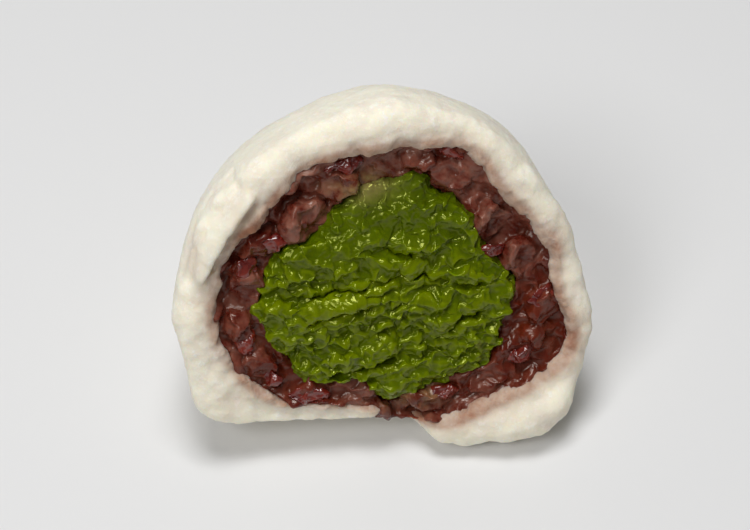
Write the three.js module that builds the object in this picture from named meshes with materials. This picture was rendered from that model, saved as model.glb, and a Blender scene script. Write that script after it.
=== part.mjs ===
// Half of a filled rice cake: a soft rice dough skin round bean paste round a green filling,
// cut through the middle and tipped back on its round side so that the cut face looks up.
//
// Millimetres, +Z up. The cut face looks towards -Y and leans back. The origin is at the
// bottom centre of the whole, on the surface it rests on.
//
// Each piece is first made round the centre of the uncut ball, with X to the right, Y up
// along the cut face and Z out of the cut face. The whole is tipped back at the end.

import * as THREE from "three";
import { ImprovedNoise } from "three/addons/math/ImprovedNoise.js";

// Driving dimensions
const BALL_RADIUS = 24.8; // the uncut ball, before it settles under its own weight
const LEAN_BACK = 25; // degrees that the cut face leans back from upright
const REST_DROP = 21.5; // from the ball's centre straight down to the table
const BASE_DROP = 17.7; // from the ball's centre down the cut face to the cake's own flat base
const FLAP_DROP = 21.4; // the same, where the closing flap of the dough hangs lower
const BASE_TILT = 6; // degrees that the flat base rises towards the left
const BASE_THICKNESS = 3.2; // of the dough, at its flat base
const PASTE_RADIUS = 19.4;
const FILLING_RADIUS = 14.3; // the green filling
const GAP = 0.3; // between neighbouring pieces

// How the soft dough settles: it swells in a ring just above its flat base.
const SAG = { by: 2.8, at: -0.62, over: 0.25 };
const BASE_ROUNDING = 3;
const REST_ROUNDING = 1.5;

// Swellings (+) and hollows (-) round the cut face: where they are in degrees, counted
// from the right and turning up, how high they are, and the angle that they spread over.
const DOUGH_OUTLINE = [
  { at: 87, by: 0.4, over: 6 }, // the slight peak at the top
  { at: 108, by: -1.0, over: 22 }, // the flattened left shoulder
  { at: 165, by: -0.4, over: 9 },
  { at: 180, by: 0.5, over: 5 }, // a small knob at the left
  { at: -160, by: 0.5, over: 12 },
  { at: -17, by: 0.5, over: 8 },
  { at: -47, by: 2.1, over: 10 },
  { at: 28, by: -1.5, over: 18 },
  { at: 5, by: -0.9, over: 10 },
];
const PASTE_OUTLINE = [
  { at: 60, by: 1.5, over: 14 },
  { at: 138, by: -1.3, over: 12 },
  { at: 12, by: 1.4, over: 9 },
  { at: -24, by: 5.0, over: 18 }, // out almost to the surface at the lower right
  { at: -128, by: -0.8, over: 12 },
  { at: 40, by: -0.6, over: 10 },
  { at: -70, by: 3.9, over: 20 }, // down into the flap
  { at: -176, by: 1.2, over: 22 },
];
const FILLING_OUTLINE = [
  { at: 73, by: 1.8, over: 6 },
  { at: 122, by: -2.6, over: 18 },
  { at: 137, by: -1.6, over: 7 },
  { at: 25, by: -1.3, over: 10 },
  { at: -4, by: 1.7, over: 9 },
  { at: -40, by: 2.4, over: 12 },
  { at: -110, by: -3.9, over: 9 },
  { at: 180, by: 1.0, over: 5 },
];
const MARK_DEPTH = 16; // how far behind the cut face these marks die out

// The seam where the dough was pinched shut: a step from the base down to the flap.
const SEAM = { from: -87, to: -70, depth: 11 };
const SEAM_NOTCH = [{ at: -90, by: -0.7, over: 8 }];

// Gentle lumps: how high they are, how far apart, how many times as wide as they are tall,
// and which part of the noise they are taken from.
const DOUGH_LUMPS = { height: 0.9, size: 15, widened: 1, from: 0.5 };
const PASTE_LUMPS = { height: 1.3, size: 4.5, widened: 1, from: 2.3 };
const FILLING_LUMPS = { height: 0.9, size: 5, widened: 2.4, from: 7.1 };

// How far the cut surfaces stand in front of the cut plane
const LIP_ROUNDNESS = 0.46; // the dough's rolled cut edge, as a share of its thickness
const PRESSED_LIP = [{ at: -130, by: -0.46, over: 34 }]; // flatter where it lies near the table
const PASTE_RISE = 0.2;
const FILLING_RISE = 1.3;
const FILLING_RIM = 0.2; // share of the filling's radius over which its edge is rounded

// Segments round each piece, and rings from its back to its front
const AROUND = 72;
const RINGS = { back: 13, lip: 7, inside: 9, pasteFront: 6, fillingBack: 7, fillingFront: 8 };

const CUP_WALL = 0.2; // of the round cup of radius 1 that each hollow piece starts from
const SOLID = 1;
const DOWN_THE_FACE = new THREE.Vector3(0, -1, 0);
const tilt = THREE.MathUtils.degToRad(BASE_TILT);
const THROUGH_THE_BASE = new THREE.Vector3(-Math.sin(tilt), -Math.cos(tilt), 0);
const lean = THREE.MathUtils.degToRad(LEAN_BACK);
const STRAIGHT_DOWN = new THREE.Vector3(0, -Math.cos(lean), -Math.sin(lean));

const noise = new ImprovedNoise();
const { lerp, smoothstep, radToDeg } = THREE.MathUtils;

// The smaller of two numbers, with a rounded change from one to the other.
function smoothMin(a, b, rounding) {
  const near = Math.max(rounding - Math.abs(a - b), 0) / rounding;
  return Math.min(a, b) - (near * near * rounding) / 4;
}

// The height of lumps at a point.
const lumps = (point, { height, size, widened, from }) =>
  height * noise.noise(point.x / (size * widened), point.y / size, point.z / size + from);

// The sum of a list of marks at an angle round the cut face.
function swelling(angle, marks) {
  return marks.reduce((sum, { at, by, over }) => {
    const away = THREE.MathUtils.euclideanModulo(angle - at + 180, 360) - 180;
    return sum + by * Math.exp(-((away / over) ** 2));
  }, 0);
}

// A direction's angle round the cut face, and how much of the face's marks it still has.
const angleOf = ({ x, y }) => radToDeg(Math.atan2(y, x));
const nearFace = (d) => Math.exp(-(((d.z * BALL_RADIUS) / MARK_DEPTH) ** 2)) * (1 - d.z * d.z);

// A radius held in by a plane, with the edge between the two rounded.
function flattened(radius, direction, normal, drop, rounding) {
  const towards = Math.max(direction.dot(normal), 0.1);
  return smoothMin(radius, drop / towards, rounding);
}

// The outside of the dough, as a distance from the ball's centre in a direction.
function doughRadius(d) {
  const angle = angleOf(d);
  let radius = BALL_RADIUS + SAG.by * Math.exp(-(((d.y - SAG.at) / SAG.over) ** 2));
  radius += lumps(d.clone().multiplyScalar(BALL_RADIUS), DOUGH_LUMPS);
  radius += nearFace(d) * swelling(angle, DOUGH_OUTLINE);

  const behind = Math.exp(-(((d.z * BASE_DROP) / SEAM.depth) ** 2));
  const flap = angle < 0 ? smoothstep(angle, SEAM.from, SEAM.to) : 0;
  const drop = lerp(BASE_DROP, FLAP_DROP, flap * behind);
  radius = flattened(radius, d, THROUGH_THE_BASE, drop, BASE_ROUNDING);
  radius += behind * swelling(angle, SEAM_NOTCH);
  return flattened(radius, d, STRAIGHT_DOWN, REST_DROP, REST_ROUNDING);
}

function pasteRadius(d) {
  const drop = BASE_DROP - BASE_THICKNESS;
  const radius = flattened(PASTE_RADIUS, d, DOWN_THE_FACE, drop, BASE_ROUNDING);
  return radius + nearFace(d) * swelling(angleOf(d), PASTE_OUTLINE);
}

const fillingRadius = (d) => FILLING_RADIUS + nearFace(d) * swelling(angleOf(d), FILLING_OUTLINE);
const doughInside = (d) => pasteRadius(d) + GAP;
const pasteInside = (d) => fillingRadius(d) + GAP;

// Heights in front of the cut plane, at a point of it
const lipHeight = (point, wall) => wall * (LIP_ROUNDNESS + swelling(angleOf(point), PRESSED_LIP));
const pasteHeight = (point) => PASTE_RISE + lumps(point, PASTE_LUMPS);
const fillingHeight = (point) => FILLING_RISE + lumps(point, FILLING_LUMPS);

// Points on an arc about the origin, in radians from straight back to the cut plane.
function arc(radius, from, to, rings) {
  return Array.from({ length: rings }, (_, i) => {
    const angle = lerp(from, to, i / (rings - 1));
    return new THREE.Vector2(radius * Math.sin(angle), -radius * Math.cos(angle));
  });
}

// Three kinds of front. Each is a list of rings from the outer edge inwards: the share of
// the way across, and how far forward the ring stands as a share of the full height.
const front = (rings, ring) => Array.from({ length: rings }, (_, i) => ring(i));

const rolledFront = (rings) =>
  front(rings, (i) => {
    const turn = (Math.PI * (i + 1)) / (rings + 1);
    return { share: (1 - Math.cos(turn)) / 2, forward: Math.sin(turn) };
  });

const levelFront = (rings) => front(rings, (i) => ({ share: (i + 0.5) / rings, forward: 1 }));

const roundedFront = (rings) =>
  front(rings, (i) => {
    const share = ((i + 1) / rings) ** 1.6;
    return { share, forward: Math.sqrt(Math.min(share / FILLING_RIM, 1)) };
  });

// A round half ball, hollow or solid, turned on a lathe: out along the back, over the
// front and back along the inside. Only the front has Z above zero.
function halfBall(wall, backRings, front, insideRings) {
  const profile = [
    ...arc(1, 0, Math.PI / 2, backRings),
    ...front.map(({ share, forward }) => new THREE.Vector2(1 - wall * share, forward)),
    ...(insideRings ? arc(1 - wall, Math.PI / 2, 0, insideRings) : []),
  ];
  profile[0].x = 0;
  profile[profile.length - 1].x = 0;
  return new THREE.LatheGeometry(profile, AROUND).rotateX(Math.PI / 2);
}

// Fits a round half ball to its true outside and inside radius, and its front to a height.
function fitted(geometry, wall, outside, inside, height) {
  const points = geometry.attributes.position;
  const point = new THREE.Vector3();
  for (let i = 0; i < points.count; i++) {
    point.fromBufferAttribute(points, i);
    const forward = Math.max(point.z, 0);
    point.z = Math.min(point.z, 0);
    const share = (1 - point.length()) / wall;
    const direction = point.clone().normalize();
    const outer = outside(direction);
    const inner = inside(direction);
    point.copy(direction).multiplyScalar(lerp(outer, inner, share));
    point.z += forward * height(point, outer - inner);
    points.setXYZ(i, point.x, point.y, point.z);
  }
  return geometry;
}

function makeDough() {
  const cup = halfBall(CUP_WALL, RINGS.back, rolledFront(RINGS.lip), RINGS.inside);
  const white = new THREE.MeshStandardMaterial({ color: 0xf5f1e6, roughness: 0.85, metalness: 0 });
  return new THREE.Mesh(fitted(cup, CUP_WALL, doughRadius, doughInside, lipHeight), white);
}

function makePaste() {
  const cup = halfBall(CUP_WALL, RINGS.inside, levelFront(RINGS.pasteFront), RINGS.fillingBack);
  const brown = new THREE.MeshStandardMaterial({ color: 0x5a2c22, roughness: 0.4, metalness: 0 });
  return new THREE.Mesh(fitted(cup, CUP_WALL, pasteRadius, pasteInside, pasteHeight), brown);
}

function makeFilling() {
  const plug = halfBall(SOLID, RINGS.fillingBack, roundedFront(RINGS.fillingFront));
  const green = new THREE.MeshStandardMaterial({ color: 0x55640f, roughness: 0.3, metalness: 0 });
  return new THREE.Mesh(fitted(plug, SOLID, fillingRadius, () => 0, fillingHeight), green);
}

const pieces = { rice_dough: makeDough(), bean_paste: makePaste(), green_filling: makeFilling() };
const tipped = new THREE.Group();
for (const [name, piece] of Object.entries(pieces)) {
  piece.name = name;
  tipped.add(piece);
}
tipped.rotation.x = Math.PI / 2 - lean;

const halfRiceCake = new THREE.Group();
halfRiceCake.add(tipped);
halfRiceCake.updateMatrixWorld(true);
const middle = new THREE.Box3().setFromObject(halfRiceCake, true).getCenter(new THREE.Vector3());
tipped.position.set(-middle.x, -middle.y, REST_DROP);

export default halfRiceCake;
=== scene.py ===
"""Half of a filled rice cake: white rice dough round coarse bean paste round a green tea filling."""
import math
import random

import bpy
import numpy as np
from mathutils import Euler, Matrix, Vector


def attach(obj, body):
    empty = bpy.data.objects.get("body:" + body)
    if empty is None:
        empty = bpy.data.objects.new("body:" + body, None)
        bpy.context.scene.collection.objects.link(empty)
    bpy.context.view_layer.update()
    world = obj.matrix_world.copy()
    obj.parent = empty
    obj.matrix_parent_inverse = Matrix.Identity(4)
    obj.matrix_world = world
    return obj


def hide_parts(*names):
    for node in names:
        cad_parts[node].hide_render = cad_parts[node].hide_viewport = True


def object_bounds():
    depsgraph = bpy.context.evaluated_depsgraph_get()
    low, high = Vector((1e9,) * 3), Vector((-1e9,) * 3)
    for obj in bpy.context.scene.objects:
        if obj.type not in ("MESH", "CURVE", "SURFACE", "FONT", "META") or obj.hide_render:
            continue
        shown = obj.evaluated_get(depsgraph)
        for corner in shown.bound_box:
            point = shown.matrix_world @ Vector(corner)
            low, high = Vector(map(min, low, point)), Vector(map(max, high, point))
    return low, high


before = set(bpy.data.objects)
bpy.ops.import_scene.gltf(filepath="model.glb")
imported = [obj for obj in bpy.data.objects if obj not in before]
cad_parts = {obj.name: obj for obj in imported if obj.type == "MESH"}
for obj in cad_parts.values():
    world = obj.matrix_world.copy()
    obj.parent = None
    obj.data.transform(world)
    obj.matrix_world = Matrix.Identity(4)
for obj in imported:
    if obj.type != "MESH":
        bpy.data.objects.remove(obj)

CAD_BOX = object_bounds()
MM = 0.001

# The cut face: its middle, and how far it leans back. Pieces are shaped in face space, with
# X to the right, Y up the face and Z out of it, and stood up in their place at the end.
LEAN_BACK = math.radians(25)
FACE_MIDDLE = Vector((0.065, -6.80, 21.5)) * MM
TO_WORLD = Matrix.LocRotScale(FACE_MIDDLE, Euler((math.pi / 2 - LEAN_BACK, 0, 0)), None)
TO_FACE = TO_WORLD.inverted()

# Layers under the cut plane, from where they start to where they are full, in mm.
LIP = (-1.5, 0.5)
FRONT = (-3, -0.5)
SHOWN = (-3, -1)


# ---------------------------------------------------------------- meshes

def select_only(piece):
    if bpy.context.object and bpy.context.object.mode != "OBJECT":
        bpy.ops.object.mode_set(mode="OBJECT")
    bpy.ops.object.select_all(action="DESELECT")
    piece.select_set(True)
    bpy.context.view_layer.objects.active = piece


def modify(piece, kind, **settings):
    """Adds a modifier with its settings and applies it."""
    select_only(piece)
    modifier = piece.modifiers.new(kind.lower(), kind)
    for name, value in settings.items():
        setattr(modifier, name, value)
    bpy.ops.object.modifier_apply(modifier=modifier.name)


def copy_of(cad_node, name):
    """A merged copy of a CAD solid, in face space."""
    piece = bpy.data.objects.new(name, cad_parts[cad_node].data.copy())
    bpy.context.scene.collection.objects.link(piece)
    piece.data.transform(TO_FACE)
    select_only(piece)
    bpy.ops.object.mode_set(mode="EDIT")
    bpy.ops.mesh.select_all(action="SELECT")
    bpy.ops.mesh.remove_doubles(threshold=0.001 * MM)
    bpy.ops.mesh.tris_convert_to_quads(face_threshold=math.pi, shape_threshold=math.pi)
    bpy.ops.object.mode_set(mode="OBJECT")
    piece.data.materials.clear()
    return piece


def subdivide(piece, levels):
    modify(piece, "SUBSURF", levels=levels, render_levels=levels)


def remesh(piece, spacing, smoothing):
    """One closed skin of even faces, whose size is the spacing in mm."""
    modify(piece, "REMESH", mode="VOXEL", voxel_size=spacing * MM)
    modify(piece, "SMOOTH", factor=0.5, iterations=smoothing)


def joined(pieces):
    """Several pieces as one, which keeps the name of the first."""
    select_only(pieces[0])
    for piece in pieces:
        piece.select_set(True)
    bpy.ops.object.join()
    return pieces[0]


def placed(piece, x, y, z, turn, lean=0):
    """Moves a small piece to its place in mm, turned on the face and leaning, in degrees."""
    turned = Euler((math.radians(lean), 0, math.radians(turn)))
    piece.data.transform(Matrix.LocRotScale(Vector((x, y, z)) * MM, turned, None))
    return piece


def finish(piece, material, stands_for=None):
    """Stands a piece up in its place, gives it its material and ties it to the frame."""
    piece.data.transform(TO_WORLD)
    piece.data.materials.clear()
    piece.data.materials.append(material)
    select_only(piece)
    bpy.ops.object.shade_smooth()
    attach(piece, "root")
    if stands_for:
        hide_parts(stands_for)


# ---------------------------------------------------------------- places and weights

def places(piece):
    """The points of a mesh, in mm."""
    flat = np.empty(len(piece.data.vertices) * 3, dtype=np.float32)
    piece.data.vertices.foreach_get("co", flat)
    return flat.reshape(-1, 3) / MM


def above_floor(points):
    """How high each point stands above the floor, in mm."""
    return np.array([(TO_WORLD @ (Vector(point) * MM)).z for point in points]) / MM


def ramp(values, low, high):
    """0 up to low, 1 from high on, and smooth between them."""
    t = np.clip((values - low) / (high - low), 0, 1)
    return t * t * (3 - 2 * t)


def within(points, layer):
    """0 below a layer under the cut plane, 1 above it."""
    return ramp(points[:, 2], *layer)


def bell(distance, width):
    """1 at no distance, falling to 0 over a width."""
    return np.exp(-((distance / width) ** 2))


def near_path(points, path, width):
    """1 on a path across the cut face, falling to 0 over its width. All in mm."""
    best = np.full(len(points), np.inf)
    for start, end in zip(path, path[1:]):
        a, b = np.array(start, float), np.array(end, float)
        along = np.clip(((points[:, :2] - a) @ (b - a)) / ((b - a) @ (b - a)), 0, 1)
        best = np.minimum(best, np.linalg.norm(points[:, :2] - a - along[:, None] * (b - a), axis=1))
    return bell(best, width)


def near_spot(points, x, y, across, up):
    """1 at a spot of the cut face, falling to 0 over its size across and up the face."""
    return np.exp(-(((points[:, 0] - x) / across) ** 2) - ((points[:, 1] - y) / up) ** 2)


def edge_of(cad_node, choose):
    """The edge of a CAD solid at the cut plane, as a radius at each of a list of angles. It is
    the inner edge when min chooses, and the outer edge when max does."""
    piece = copy_of(cad_node, "edge")
    points = places(piece)
    bpy.data.objects.remove(piece)
    ring = points[np.abs(points[:, 2]) < 0.05]
    angles = np.rint(np.degrees(np.arctan2(ring[:, 1], ring[:, 0])))
    steps = np.unique(angles)
    return steps, [choose(np.hypot(*ring[angles == step, :2].T)) for step in steps]


def beyond(points, edge):
    """How far each point lies outside an edge round the cut face, in mm."""
    angles = np.degrees(np.arctan2(points[:, 1], points[:, 0]))
    return np.hypot(points[:, 0], points[:, 1]) - np.interp(angles, *edge, period=360)


def hollows(piece, rounds=12):
    """How deep each point lies below the surface round it, in mm, with ridges below 0."""
    mesh = piece.data
    edges = np.empty(len(mesh.edges) * 2, dtype=np.int32)
    mesh.edges.foreach_get("vertices", edges)
    a, b = edges[0::2], edges[1::2]
    normals = np.empty(len(mesh.vertices) * 3, dtype=np.float32)
    mesh.vertices.foreach_get("normal", normals)
    points = places(piece)
    count = np.bincount(np.concatenate([a, b]), minlength=len(points))[:, None]
    smooth = points.copy()
    for _ in range(rounds):
        total = np.zeros_like(smooth)
        for axis in range(3):
            total[:, axis] = (np.bincount(a, smooth[b, axis], len(points))
                              + np.bincount(b, smooth[a, axis], len(points)))
        smooth = total / count
    return np.einsum("ij,ij->i", smooth - points, normals.reshape(-1, 3))


def note(piece, name, values):
    """Stores a number for each point, for the materials to read."""
    attribute = piece.data.attributes.new(name, "FLOAT", "POINT")
    attribute.data.foreach_set("value", np.asarray(values, dtype=np.float32))


# ---------------------------------------------------------------- relief

WEIGHT_STEPS = 32


def weigh(piece, weights):
    """A vertex group that holds a weight from 0 to 1 for each point, in even steps."""
    group = piece.vertex_groups.new(name="weights")
    steps = np.rint(np.clip(weights, 0, 1) * WEIGHT_STEPS).astype(int)
    for step in range(1, WEIGHT_STEPS + 1):
        chosen = np.flatnonzero(steps == step)
        if len(chosen):
            group.add(chosen.tolist(), step / WEIGHT_STEPS, "REPLACE")
    return group.name


def push(piece, distance, weights, direction="NORMAL"):
    """Moves the weighted part of the surface along its normals or along an axis of face space."""
    modify(piece, "DISPLACE", strength=distance * MM, mid_level=0, direction=direction,
           vertex_group=weigh(piece, weights))
    piece.vertex_groups.clear()


def relief(piece, texture, height, weights=None, stretch=1, turn=0, direction="NORMAL"):
    """Moves the surface by a pattern, stretched across the face and turned by degrees."""
    holder = bpy.data.objects.new("pattern_holder", None)
    bpy.context.scene.collection.objects.link(holder)
    holder.scale = (stretch, 1, 1)
    holder.rotation_euler = (0, 0, math.radians(turn))
    bpy.context.view_layer.update()
    settings = dict(texture=texture, strength=height * MM, mid_level=0.5, direction=direction,
                    texture_coords="OBJECT", texture_coords_object=holder)
    if weights is not None:
        settings["vertex_group"] = weigh(piece, weights)
    modify(piece, "DISPLACE", **settings)
    piece.vertex_groups.clear()
    bpy.data.objects.remove(holder)


def lumps(piece, name, size, height, weights, detail=1, sharp=False, stretch=1, turn=0):
    """Soft lumps of a size and height in mm. Sharp ones meet in creases, or, with a height
    below 0, in thin ridges."""
    texture = bpy.data.textures.new(name, "CLOUDS")
    texture.noise_scale = size * MM
    texture.noise_depth = detail
    texture.noise_type = "HARD_NOISE" if sharp else "SOFT_NOISE"
    relief(piece, texture, height, weights, stretch, turn)


def clods(piece, name, size, height, weights):
    """Rounded clods with clefts between them."""
    texture = bpy.data.textures.new(name, "VORONOI")
    texture.noise_scale = size * MM
    texture.weight_1 = -1
    texture.weight_2 = 1
    texture.noise_intensity = 1.2
    relief(piece, texture, height, weights)


def warp(piece, name, size, distance, weights=None):
    """Pulls the surface about in all directions, so that lumps lean and lap over each other."""
    texture = bpy.data.textures.new(name, "CLOUDS")
    texture.cloud_type = "COLOR"
    texture.noise_scale = size * MM
    relief(piece, texture, distance, weights, direction="RGB_TO_XYZ")


def thin_hidden(piece, share):
    """Merges small faces where nothing shows, until a share of all the faces is left."""
    hidden = 1 - within(places(piece), SHOWN)
    modify(piece, "DECIMATE", ratio=share, vertex_group=weigh(piece, hidden))
    piece.vertex_groups.clear()


# ---------------------------------------------------------------- materials

def linear(hex_colour):
    """An sRGB hex colour as the linear one that shaders take."""
    channels = [int(hex_colour[i:i + 2], 16) / 255 for i in (1, 3, 5)]
    return [c / 12.92 if c <= 0.04045 else ((c + 0.055) / 1.055) ** 2.4 for c in channels] + [1]


def grain_of(size):
    """The scale of a noise whose grains are this size, in mm."""
    return 1 / (size * MM)


def add(tree, kind, settings=None, **inputs):
    """Adds a node with its settings. An input is a value, or an output socket to link from. One
    that shares its name with others goes by its number: a colour Mix has its factor at 0 and
    its colours at 6 and 7, and a Math node has its values at 0 and 1."""
    made = tree.nodes.new("ShaderNode" + kind)
    for name, value in (settings or {}).items():
        setattr(made, name, value)
    for name, value in inputs.items():
        key = int(name[1:]) if name[0] == "_" else name.replace("_", " ")
        if isinstance(value, bpy.types.NodeSocket):
            tree.links.new(value, made.inputs[key])
        else:
            made.inputs[key].default_value = value
    return made


COLOUR_MIX = {"data_type": "RGBA"}
MULTIPLY = {"operation": "MULTIPLY"}


def blank_material(name):
    material = bpy.data.materials.new(name)
    material.use_nodes = True
    material.node_tree.nodes.clear()
    return material, material.node_tree


def noted(tree, name):
    """A number that was stored for each point."""
    return add(tree, "Attribute", {"attribute_name": name}).outputs["Fac"]


def starch_dusted_dough():
    """Steamed glutinous rice dough, dusted with starch: matt, nearly white and a little
    see-through, and stained brown where the paste touches it, with painted shade in the same brown
    on the outer band of its fold. The starch lies in patches about
    4 mm wide. Its grains are 0.01 mm and are drawn as clumps of 0.9 mm, to show."""
    material, tree = blank_material("starch_dusted_rice_dough")
    place = add(tree, "TexCoord").outputs["Object"]
    blotches = add(tree, "TexNoise", Vector=place, Scale=grain_of(3.85), Detail=4, Roughness=0.65)
    powder = add(tree, "TexNoise", Vector=place, Scale=grain_of(0.91), Detail=4, Roughness=0.75)
    bare = add(tree, "MapRange", Value=blotches.outputs["Fac"], From_Min=0.45, From_Max=0.7)
    dusted = add(tree, "Mix", COLOUR_MIX, _0=bare.outputs["Result"],
                 _6=linear("#f9f2de"), _7=linear("#ece4d4"))
    clumped = add(tree, "MapRange", Value=powder.outputs["Fac"], From_Min=0.52, From_Max=0.68, To_Max=0.7)
    clumps = add(tree, "Mix", COLOUR_MIX, _0=clumped.outputs["Result"],
                 _6=dusted.outputs[2], _7=linear("#fffcf2"))
    soaked = add(tree, "MapRange", Value=blotches.outputs["Fac"],
                 From_Min=0.3, From_Max=0.7, To_Min=1.3, To_Max=0.6)
    amount = add(tree, "Math", MULTIPLY, _0=noted(tree, "stain_and_shade"), _1=soaked.outputs["Result"])
    # Mixes in the brown of the paste's stain, and painted shade in the same brown on the outer band of the
    # fold.
    stained_and_shaded = add(tree, "Mix", COLOUR_MIX, _0=amount.outputs["Value"],
                  _6=clumps.outputs[2], _7=linear("#a3745c"))
    grain = add(tree, "Bump", Strength=0.8, Distance=0.2 * MM, Height=powder.outputs["Fac"])
    shader = add(tree, "BsdfPrincipled", Base_Color=stained_and_shaded.outputs[2], Roughness=0.85,
                 Specular_IOR_Level=0.2, Subsurface_Weight=0.5, Subsurface_Scale=2.2 * MM,
                 Subsurface_Radius=(1.0, 0.7, 0.45), Normal=grain.outputs["Normal"])
    add(tree, "OutputMaterial", Surface=shader.outputs["BSDF"])
    return material


def coarse_bean_paste():
    """Sweet red bean paste, crushed and simmered with sugar: dark, moist and shiny, mauve
    where a bean's mealy inside shows and maroon where its skin does. It is drawn darker in its
    hollows and on its wet skins, which is painted shade, and pale on its upper rim, which is partly
    a pale film and partly painted light. Its colour changes over
    half a bean, 2.6 mm. Its grit is 0.1 mm and is drawn as coarse as 0.67 mm, to show."""
    material, tree = blank_material("coarse_red_bean_paste")
    place = add(tree, "TexCoord").outputs["Object"]
    blotches = add(tree, "TexNoise", Vector=place, Scale=grain_of(2.63), Detail=4,
                   Roughness=0.65).outputs["Fac"]
    choice = add(tree, "MapRange", Value=blotches, From_Min=0.38, From_Max=0.62)
    skin = add(tree, "Mix", COLOUR_MIX, _0=choice.outputs["Result"],
               _6=linear("#541206"), _7=linear("#6b2917"))
    uneven = add(tree, "MapRange", Value=blotches, From_Min=0.4, From_Max=0.62, To_Min=0.1, To_Max=1.15)
    # How pale the paste is drawn: mealy where beans broke open, and pale on the upper rim, partly as painted
    # light.
    amount = add(tree, "Math", MULTIPLY, _0=noted(tree, "paleness"), _1=uneven.outputs["Result"])
    mealy = add(tree, "Mix", COLOUR_MIX, _0=amount.outputs["Value"],
                _6=skin.outputs[2], _7=linear("#8f6252"))
    # Painted shade: darker in the hollows and on the wet skins.
    hollow_shade = add(tree, "MapRange", Value=noted(tree, "hollow"), From_Min=0, From_Max=0.4)
    shaded = add(tree, "Mix", COLOUR_MIX, _0=hollow_shade.outputs["Result"],
                 _6=mealy.outputs[2], _7=linear("#521806"))
    wiped = add(tree, "Math", MULTIPLY, _0=noted(tree, "smear"), _1=uneven.outputs["Result"])
    smeared = add(tree, "Mix", COLOUR_MIX, _0=wiped.outputs["Value"],
                  _6=shaded.outputs[2], _7=linear("#8a7444"))
    grit = add(tree, "TexNoise", Vector=place, Scale=grain_of(0.667), Detail=3, Roughness=0.6)
    grain = add(tree, "Bump", Strength=0.25, Distance=0.2 * MM, Height=grit.outputs["Fac"])
    gloss = add(tree, "MapRange", Value=amount.outputs["Value"], To_Min=0.25, To_Max=0.5)
    shader = add(tree, "BsdfPrincipled", Base_Color=smeared.outputs[2], Roughness=gloss.outputs["Result"],
                 Specular_IOR_Level=0.28, Specular_Tint=(1.0, 0.85, 0.7, 1.0),
                 Subsurface_Weight=0.3, Subsurface_Scale=1.2 * MM, Subsurface_Radius=(1.0, 0.3, 0.2),
                 Coat_Weight=0.25, Coat_Roughness=0.15, Normal=grain.outputs["Normal"])
    add(tree, "OutputMaterial", Surface=shader.outputs["BSDF"])
    return material


def wet_bean_skin():
    """The cooked skin of a red bean: thin, smooth, dark maroon and wet. It is mottled over 2 mm
    and wrinkled every 1.1 mm."""
    material, tree = blank_material("wet_red_bean_skin")
    place = add(tree, "TexCoord").outputs["Object"]
    blotches = add(tree, "TexNoise", Vector=place, Scale=grain_of(2), Detail=3, Roughness=0.6)
    choice = add(tree, "MapRange", Value=blotches.outputs["Fac"], From_Min=0.35, From_Max=0.65)
    colour = add(tree, "Mix", COLOUR_MIX, _0=choice.outputs["Result"],
                 _6=linear("#560d09"), _7=linear("#7d2a1c"))
    ripples = add(tree, "TexNoise", Vector=place, Scale=grain_of(1.11), Detail=2, Roughness=0.5)
    wrinkles = add(tree, "Bump", Strength=0.3, Distance=0.2 * MM, Height=ripples.outputs["Fac"])
    shader = add(tree, "BsdfPrincipled", Base_Color=colour.outputs[2], Roughness=0.22,
                 Subsurface_Weight=0.2, Subsurface_Scale=0.8 * MM, Subsurface_Radius=(1.0, 0.25, 0.15),
                 Coat_Weight=0.5, Coat_Roughness=0.1, Normal=wrinkles.outputs["Normal"])
    add(tree, "OutputMaterial", Surface=shader.outputs["BSDF"])
    return material


def green_tea_filling():
    """A soft green tea sweet, torn by the knife: deep green, oily and shiny. It is drawn a little
    lighter and more yellow on its thin ridges and darker in its hollows, which is painted light
    and shade. Its colour drifts over about 4 mm. Its grit is finer than
    0.1 mm and is drawn as coarse as 0.56 mm, to show."""
    material, tree = blank_material("green_tea_filling")
    place = add(tree, "TexCoord").outputs["Object"]
    blotches = add(tree, "TexNoise", Vector=place, Scale=grain_of(3.85), Detail=3, Roughness=0.5)
    choice = add(tree, "MapRange", Value=blotches.outputs["Fac"], From_Min=0.35, From_Max=0.65)
    body = add(tree, "Mix", COLOUR_MIX, _0=choice.outputs["Result"],
               _6=linear("#435200"), _7=linear("#526200"))
    # Painted light and shade: lighter and more yellow on the ridges, darker in the hollows.
    height = add(tree, "MapRange", Value=noted(tree, "hollow"), From_Min=0.05, From_Max=-0.12)
    ridge_lit = add(tree, "Mix", COLOUR_MIX, _0=height.outputs["Result"],
                 _6=body.outputs[2], _7=linear("#657300"))
    smeared = add(tree, "Mix", COLOUR_MIX, _0=noted(tree, "smear"),
                  _6=ridge_lit.outputs[2], _7=linear("#867c44"))
    grit = add(tree, "TexNoise", Vector=place, Scale=grain_of(0.556), Detail=2, Roughness=0.5)
    grain = add(tree, "Bump", Strength=0.15, Distance=0.2 * MM, Height=grit.outputs["Fac"])
    shader = add(tree, "BsdfPrincipled", Base_Color=smeared.outputs[2], Roughness=0.15,
                 Specular_IOR_Level=0.45, Specular_Tint=(0.95, 1.0, 0.25, 1.0),
                 Subsurface_Weight=0.25, Subsurface_Scale=1.2 * MM, Subsurface_Radius=(0.5, 1.0, 0.15),
                 Normal=grain.outputs["Normal"])
    add(tree, "OutputMaterial", Surface=shader.outputs["BSDF"])
    return material


def pale_board():
    """A plain matt board."""
    material, tree = blank_material("pale_matt_board")
    shader = add(tree, "BsdfPrincipled", Base_Color=linear("#e4e4e4"), Roughness=0.9)
    add(tree, "OutputMaterial", Surface=shader.outputs["BSDF"])
    return material


# All places and sizes from here on are in mm on the cut face. A spot is its middle and its
# size, both across and up the face.

# ---------------------------------------------------------------- the dough

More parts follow.
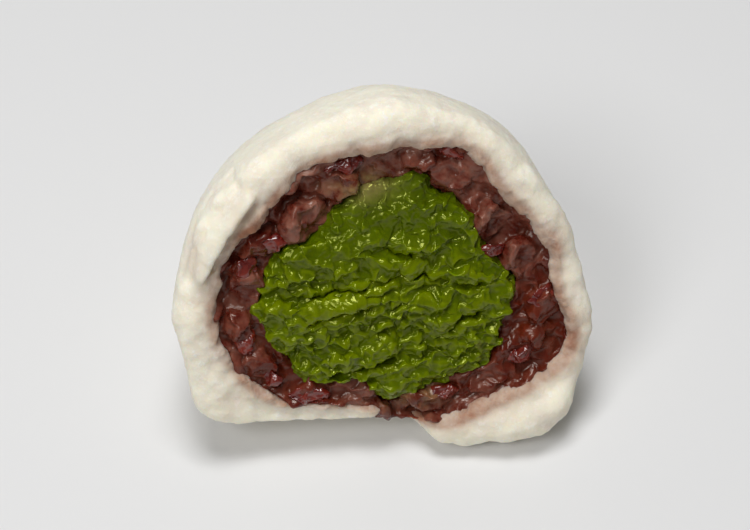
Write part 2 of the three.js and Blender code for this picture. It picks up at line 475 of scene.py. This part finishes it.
# Where the dough folded over: the crest of the fold, and the furrows inside and outside it.
# Each has its path, how far it is pushed, its width and the layer that it is pushed in.
FOLD_LINES = [
    ([(-21.6, 5.5), (-20.2, 8.4), (-18.2, 11.6), (-15.2, 15.4)], 0.9, 0.6, LIP),
    ([(-20.4, 5.2), (-19.1, 7.9), (-17.1, 11.0), (-14.4, 14.2)], -0.8, 0.6, LIP),
    ([(-23.4, 5.0), (-22.4, 9.0), (-20.0, 12.8), (-16.6, 16.8)], -0.9, 0.8, SHOWN),
]
SEAM_GAP = (1.0, -17.5, 2.4, 2.2)  # where its closing seam gapes
GAP_DEPTH = 2.4

# How the paste stains its edge, as strengths and widths, and the spots that it stained too. The spot at
# -22.4, 8.6 is painted shade on the outer band of the fold.
EDGE_STAINS = [(0.5, 0.6), (0.25, 1.7)]
STAINS_AND_SHADE = [
    (0.3, (-15.5, 12.6, 2.2, 3.0)), (0.3, (20.8, 5.2, 1.6, 2.4)), (0.15, (23.2, -9, 1.6, 5)),
    (0.1, (-19.5, -12, 2.5, 3)), (0.5, (1.2, -17.4, 3.0, 1.4)), (0.3, (-22.4, 8.6, 1.0, 4.0)),
    (0.07, (15, -17.6, 6, 2.4)),
]


def stain_and_shade_on_dough(points, inside):
    """How strongly the paste stained each point, with painted shade added on the outer band of the fold. Up
    the face the stain reaches further.
    """
    upper = points[:, 1] / np.hypot(points[:, 0], points[:, 1])
    away = np.maximum(beyond(points, inside) - 0.5 * ramp(upper, -0.5, 1), 0)
    stain_and_shade = sum(strength * bell(away, width) for strength, width in EDGE_STAINS)
    for strength, spot in STAINS_AND_SHADE:
        stain_and_shade += strength * near_spot(points, *spot)
    return np.clip(stain_and_shade, 0, 1) * within(points, FRONT)


def make_dough():
    dough = copy_of("rice_dough", "rice_dough_skin")
    subdivide(dough, 2)
    remesh(dough, 0.34, smoothing=3)
    inside = edge_of("rice_dough", min)
    points = places(dough)
    face = within(points, LIP)
    lifted = ramp(above_floor(points), 0.1, 1.5)  # leaves the flat spot that it rests on alone
    lumps(dough, "soft_dents", 9, 0.8, lifted)
    lumps(dough, "lip_waves", 3.5, 1.0, face * lifted)
    for path, distance, width, layer in FOLD_LINES:
        push(dough, distance, near_path(points, path, width) * within(points, layer))
    gap = near_spot(points, *SEAM_GAP)
    push(dough, -GAP_DEPTH, gap * face, direction="Z")
    edge = beyond(points, inside)
    push(dough, 0.8, bell(edge, 0.9) * face * (1 - gap))  # laps over the paste
    warp(dough, "torn_edge", 1.8, 1.2, ramp(-edge, -2.4, -0.3) * face)
    lumps(dough, "small_dents", 2.6, 0.25, lifted, detail=2)
    lumps(dough, "powder", 0.8, 0.2, lifted, detail=2)
    note(dough, "stain_and_shade", stain_and_shade_on_dough(places(dough), inside))
    return dough


# ---------------------------------------------------------------- the bean paste

# The beans that show at the cut: middle, length and width, turn in degrees, and how mealy,
# where 1 is broken open and 0 is still in its skin.
BEANS = [
    (8.9, 14.7, 5.4, 4.2, -20, 0.7), (13.3, 7.9, 4.6, 5.6, 10, 1.0), (16.6, 2.7, 4.6, 5.8, 15, 0.8),
    (14.4, 13.2, 2.6, 5.4, 25, 0.8), (19.2, -4.0, 3.6, 6.4, -25, 0), (17.2, -8.6, 5.6, 4.2, 35, 0),
    (12.2, -13.9, 5.6, 3.2, 20, 0.6), (4.4, -15.2, 6.2, 3.4, -5, 0.3), (-3.4, -13.2, 4.6, 2.6, 10, 0.5),
    (-9.6, -12.8, 5.6, 3.2, -12, 0.0), (-15.4, -8.6, 4.0, 5.4, 35, 0.7), (-17.4, -2.6, 3.4, 5.6, 10, 0.2),
    (-16.6, 3.6, 5.0, 3.8, -35, 0.5), (-14.6, 8.2, 5.0, 3.4, 40, 0.1), (-9.0, 10.7, 6.6, 5.0, 25, 0.7),
    (-4.4, 14.9, 5.0, 3.4, 15, 0.6), (-4.2, 17.5, 5.6, 1.8, 8, 0.7), (1.6, 18.3, 5.4, 2.6, 0, 1.0),
    (5.4, 17.0, 4.0, 3.2, -30, 0.2), (18.8, 7.6, 3.0, 4.6, 20, 0.3),
]
BEAN_SEED = 9
MASH_MEAL = 0.35  # how mealy the mash between the beans is
SWOLLEN = (16, -13, 9, 6)  # where the paste stands higher, close to the dough's edge
SAGGING = (1.0, -15.2, 4.5, 1.6)  # where it sags into the gap in the dough's seam
WET = [(17, -8, 9, 9), (-13, -10, 5, 4)]  # where it is mostly wet skins
# Painted shade on the wet skins, given as a depth.
WET_SPOT_SHADE = 0.2  # as if they lay this deep in a hollow, which darkens them
SMEAR = (-1.5, 14.3, 3.2, 1.6)  # where the knife wiped the filling and the paste together
FAINT_SMEAR = (2.5, -14.6, 4.0, 1.8)  # and where it left a trace of that on the paste
# The upper rim, which stands forward because the dough pulled at it. It is drawn pale, partly as a pale film
# of paste and partly as painted light that lifts the shade of the dough's lip.
UPPER_RIM = [(-10.5, 15.9), (-6, 18.4), (0, 19.4), (6, 18.6), (9.5, 16.6)]


def add_bean(length, width, opened, tilt):
    """A cooked bean that the knife opened: an oval cut off at a height, by a tilted plane."""
    bpy.ops.object.select_all(action="DESELECT")
    bpy.ops.mesh.primitive_uv_sphere_add(segments=20, ring_count=12, radius=0.5 * MM)
    bean = bpy.context.object
    bpy.ops.object.mode_set(mode="EDIT")
    bpy.ops.mesh.select_all(action="SELECT")
    bpy.ops.transform.resize(value=(length, width, min(length, width)))
    bpy.ops.mesh.bisect(plane_co=(0, 0, opened * MM), plane_no=(*tilt, 1), use_fill=True,
                        clear_outer=True)
    bpy.ops.object.mode_set(mode="OBJECT")
    return bean


def make_beans():
    """The opened beans, each sunk a little into the paste. A mealy one is cut near its middle,
    and one still in its skin near its top."""
    draw = random.Random(BEAN_SEED)
    beans = []
    for x, y, length, width, turn, mealy in BEANS:
        tilt = (draw.uniform(-0.5, 0.5), draw.uniform(-0.5, 0.5))
        bean = add_bean(length, width, min(length, width) * (0.42 - 0.25 * mealy), tilt)
        beans.append(placed(bean, x, y, draw.uniform(-0.9, -0.1), turn))
    return beans


def paste_paleness(points):
    """How mealy the paste is at each point, with a soft edge round each bean, and how pale its upper rim is
    drawn, partly as painted light.
    """
    paleness = np.full(len(points), MASH_MEAL)
    for x, y, length, width, turn, mealy in BEANS:
        c, s = math.cos(math.radians(turn)), math.sin(math.radians(turn))
        dx, dy = points[:, 0] - x, points[:, 1] - y
        away = np.hypot((dx * c + dy * s) / (length / 2), (dy * c - dx * s) / (width / 2))
        inside = ramp(-away, -1.3, -0.65)
        paleness = paleness * (1 - inside) + (0.1 + 0.75 * mealy) * inside
    return np.maximum(paleness, 0.9 * near_path(points, UPPER_RIM, 1.1))


def make_paste():
    paste = copy_of("bean_paste", "coarse_bean_paste")
    subdivide(paste, 1)
    remesh(paste, 0.4, smoothing=2)
    points = places(paste)
    front = within(points, FRONT)
    rim = ramp(beyond(points, edge_of("bean_paste", max)), -1.6, -0.2)
    push(paste, 0.35, 1 - front)  # back out to the dough
    push(paste, 1.1, front * rim)
    push(paste, 0.7, front * bell(beyond(points, edge_of("bean_paste", min)), 0.8))
    push(paste, -0.5, front * (1 - rim), direction="Z")
    push(paste, 0.8, front * near_spot(points, *SWOLLEN), direction="Z")
    push(paste, -1.2, front * near_spot(points, *SAGGING), direction="Y")
    push(paste, 0.8, front * near_path(points, UPPER_RIM, 1.6), direction="Z")
    clods(paste, "mash_clods", 3.4, 1.2, front)
    paste = joined([paste] + make_beans())
    remesh(paste, 0.22, smoothing=4)
    thin_hidden(paste, 0.6)
    front = within(places(paste), SHOWN)
    lumps(paste, "mash_lumps", 2.2, 1.0, front, detail=2)
    warp(paste, "squeezed", 2.4, 1.6, front)
    lumps(paste, "wrinkled_skins", 1.4, 0.14, front, sharp=True)
    lumps(paste, "grains", 0.5, 0.06, front)
    points = places(paste)
    wet = sum(near_spot(points, *spot) for spot in WET)
    note(paste, "paleness", paste_paleness(points) * (1 - 0.85 * wet))
    note(paste, "smear", near_spot(points, *SMEAR) + 0.45 * near_spot(points, *FAINT_SMEAR))
    # How deep each point lies, which the painted shade follows, with the wet skins made deeper.
    note(paste, "hollow", hollows(paste) + WET_SPOT_SHADE * wet)
    return paste


# Loose bean skins on the paste: middle, length and width, turn and lean in degrees.
SKINS = [
    (19.0, -2.6, 4.4, 2.2, 60, 25), (16.4, -10.4, 4.0, 1.8, 20, -20), (-9.8, -12.6, 5.0, 2.0, -10, 15),
    (-16.4, 5.4, 3.6, 2.0, 60, 20), (-17.0, -4.6, 3.8, 1.8, 80, -15), (-4.0, 17.2, 5.2, 1.4, 8, -30),
    (13.2, 4.6, 3.8, 1.8, -15, 35), (-12.6, 8.4, 3.4, 1.8, 35, 20), (6.6, -14.6, 4.2, 1.6, 5, -20),
    (20.8, 1.6, 3.2, 1.6, 80, 15), (9.6, 17.6, 3.6, 1.4, -35, 20), (-13.8, -9.8, 3.4, 1.6, -40, 30),
]
SKIN_SEED = 21
SKIN_THICKNESS = 0.14
SKIN_ARCH = 1.6  # how wide the bean was, for each mm of the strip that is left of its skin
WHOLE = 9  # a height above any bean, which leaves it uncut


def add_skin(length, width, slope):
    """A strip of skin: the upper shell of a bean, cut off by a plane that slopes."""
    skin = add_bean(length, width * SKIN_ARCH, WHOLE, (0, 0))
    bpy.ops.object.mode_set(mode="EDIT")
    bpy.ops.mesh.select_all(action="SELECT")
    bpy.ops.mesh.bisect(plane_co=(0, 0, 0.1 * MM), plane_no=(slope, -0.5, 1), clear_inner=True)
    bpy.ops.object.mode_set(mode="OBJECT")
    modify(skin, "SOLIDIFY", thickness=SKIN_THICKNESS * MM, offset=-1)
    return skin


def make_skins():
    draw = random.Random(SKIN_SEED)
    skins = []
    for x, y, length, width, turn, lean in SKINS:
        skin = add_skin(length, width, draw.uniform(-0.3, 0.3))
        skins.append(placed(skin, x, y, -0.5, turn, lean))
    skins[0].name = "loose_bean_skins"
    piece = joined(skins)
    subdivide(piece, 2)
    warp(piece, "crinkles", 1.5, 1.3)
    return piece


# ---------------------------------------------------------------- the green filling

NOTCH = (-8.4, 9.8, 2.4, 1.6)  # where the paste pushes into its edge

# Where the knife left it smooth, where it dragged up a ridge and where it tore it open.
SMOOTH_SPOTS = [
    (-3.5, 8.9, 3.6, 2.6), (3.4, 11.0, 2.0, 2.6), (-8.2, 6.6, 2.8, 1.8), (11.4, 4.6, 2.2, 2.4),
    (-12.4, -5.2, 1.8, 3.4), (12.8, -2.0, 2.0, 1.8), (0.4, -11.4, 3.6, 1.6), (6.8, 0.6, 1.8, 1.2),
    SMEAR,
]
RIDGES = [
    [(-1.2, 5.6), (0.6, 4.2), (2.8, 3.4), (4.6, 3.8)], [(-7.6, 3.0), (-5.6, 3.8), (-3.6, 4.6)],
    [(-11.8, -1.9), (-9.2, -0.9), (-6.4, -0.5), (-3.4, 0.2)], [(-7.0, -0.4), (-3.8, 0.3), (-1.4, 0.0)],
    [(-2.6, -1.6), (-0.2, -0.6), (2.2, -0.2), (4.0, 0.8)], [(2.0, 7.4), (4.2, 6.4), (6.6, 6.2)],
    [(8.4, 3.0), (10.6, 1.8), (13.0, 1.6)], [(7.6, 9.6), (9.6, 8.2), (11.0, 6.6)],
    [(-12.4, 3.0), (-10.4, 4.2), (-8.6, 4.0)], [(0.2, -3.2), (2.4, -2.0), (5.0, -2.4), (7.2, -1.2)],
]
TEARS = [
    [(-12.6, 0.9), (-9.0, 0.7), (-5.4, 1.7), (-2.4, 1.5)], [(-1.6, 2.6), (1.6, 1.9), (4.6, 2.2), (7.6, 1.2)],
    [(9.0, 0.5), (10.4, 0.2), (11.8, 0.4)], [(-6.8, -10.2), (-4.8, -10.0), (-2.0, -9.4), (0.4, -8.8)],
    [(3.0, -4.8), (4.4, -5.8)], [(-9.4, -2.4), (-6.0, -1.6), (-4.2, -1.2)],
    [(0.2, 6.6), (1.8, 5.6), (3.6, 5.0)], [(8.0, -5.2), (9.6, -4.2), (11.4, -3.8)],
]
DRAG_TURN = 8  # degrees that the knife's strokes rise to the right
DARKER_TOP = 0.12  # as if the upper part lay this deep in a hollow, which darkens it


def make_filling():
    filling = copy_of("green_filling", "green_tea_filling")
    subdivide(filling, 1)
    remesh(filling, 0.35, smoothing=2)
    points = places(filling)
    front = within(points, FRONT)
    push(filling, 0.3, 1 - front)  # back out to the paste
    push(filling, 0.5, front * bell(beyond(points, edge_of("green_filling", max)), 0.9))
    lumps(filling, "folds", 3.4, 1.3, front, stretch=1.7, turn=DRAG_TURN)
    remesh(filling, 0.15, smoothing=1)
    thin_hidden(filling, 0.6)
    points = places(filling)
    front = within(points, SHOWN)
    push(filling, -1.4, near_spot(points, *NOTCH) * front, direction="Z")
    push(filling, -0.8, near_spot(points, *SMEAR) * front, direction="Z")
    for path in RIDGES:
        push(filling, 0.6, near_path(points, path, 0.55) * front)
    for path in TEARS:
        push(filling, -1.0, near_path(points, path, 0.4) * front)
    rough = front.copy()
    for spot in SMOOTH_SPOTS:
        rough *= 1 - 0.85 * near_spot(points, *spot)
    high = ramp(points[:, 1], 1, 6)
    low = ramp(-points[:, 1], 1, 4)
    middle = (1 - high) * (1 - 0.7 * low)
    lumps(filling, "strokes", 1.3, 1.5, rough * middle, stretch=3.2, turn=DRAG_TURN)
    lumps(filling, "drag_ridges", 2.0, -0.6, rough * middle, detail=0, sharp=True, stretch=2.8,
          turn=DRAG_TURN)
    lumps(filling, "curls", 1.3, 1.3, rough * low, stretch=1.6)
    lumps(filling, "lobes", 2.4, 1.2, rough * high, stretch=1.6, turn=-15)
    warp(filling, "drag", 1.8, 1.6, front)
    lumps(filling, "crumbs", 0.7, 0.28, rough * (0.5 + 0.5 * low), detail=0)
    modify(filling, "SMOOTH", factor=0.5, iterations=1)
    points = places(filling)
    note(filling, "smear", near_spot(points, *SMEAR))
    # How deep each point lies, which the painted light on the ridges and the painted shade in the hollows
    # follow, with the upper part made deeper.
    note(filling, "hollow", hollows(filling) + DARKER_TOP * ramp(points[:, 1], 4, 9))
    return filling


# ---------------------------------------------------------------- floor, lights and camera

# Metres from the origin, size in metres and power in watts.
LIGHTS = [
    ("window", (-0.02, 0.02, 0.6), 0.2, 2.05),
    ("room", (-0.3, -0.3, 0.55), 0.25, 1.6),
]
LIT_POINT = Vector((0, 0, 20)) * MM  # near the middle of the half
ROOM_GLOW = 0.15

# The camera stands a little to the left and looks down on the cut face, 27 degrees steeper
# than square to it. Its distance is in metres and its lens in mm.
CAMERA_ASIDE = math.radians(-8)
CAMERA_UP = math.radians(52)
CAMERA_DISTANCE = 0.306
CAMERA_LENS = 121
AIM_LOWER = 2.4 * MM  # how far below the middle of the box it aims, as the view shows it


def make_floor():
    bpy.ops.mesh.primitive_plane_add(size=4, location=(0, 0, 0))
    floor = bpy.context.object
    floor.name = "floor"
    floor.data.materials.append(pale_board())


def make_light(name, where, size, power):
    lamp = bpy.data.lights.new(name, "AREA")
    lamp.size = size
    lamp.energy = power
    holder = bpy.data.objects.new(name, lamp)
    bpy.context.scene.collection.objects.link(holder)
    holder.location = where
    holder.rotation_euler = (LIT_POINT - Vector(where)).to_track_quat("-Z", "Y").to_euler()


def make_world():
    world = bpy.data.worlds.new("soft_room")
    bpy.context.scene.world = world
    world.use_nodes = True
    glow = world.node_tree.nodes["Background"]
    glow.inputs["Color"].default_value = (1, 1, 1, 1)
    glow.inputs["Strength"].default_value = ROOM_GLOW


def make_camera():
    view = Vector((math.sin(CAMERA_ASIDE) * math.cos(CAMERA_UP),
                   -math.cos(CAMERA_ASIDE) * math.cos(CAMERA_UP), math.sin(CAMERA_UP)))
    low, high = CAD_BOX
    turned = (-view).to_track_quat("-Z", "Y")
    aim = (Vector(low) + Vector(high)) / 2 - turned @ Vector((0, AIM_LOWER, 0))
    camera = bpy.data.objects.new("camera", bpy.data.cameras.new("camera"))
    bpy.context.scene.collection.objects.link(camera)
    camera.location = aim + view * CAMERA_DISTANCE
    camera.rotation_euler = turned.to_euler()
    camera.data.lens = CAMERA_LENS
    camera.data.clip_start = 0.01
    bpy.context.scene.camera = camera


# ---------------------------------------------------------------- the whole

finish(make_dough(), starch_dusted_dough(), "rice_dough")
finish(make_paste(), coarse_bean_paste(), "bean_paste")
finish(make_skins(), wet_bean_skin())
finish(make_filling(), green_tea_filling(), "green_filling")

make_floor()
make_world()
for light in LIGHTS:
    make_light(*light)
make_camera()
bpy.context.scene.view_settings.view_transform = "Standard"
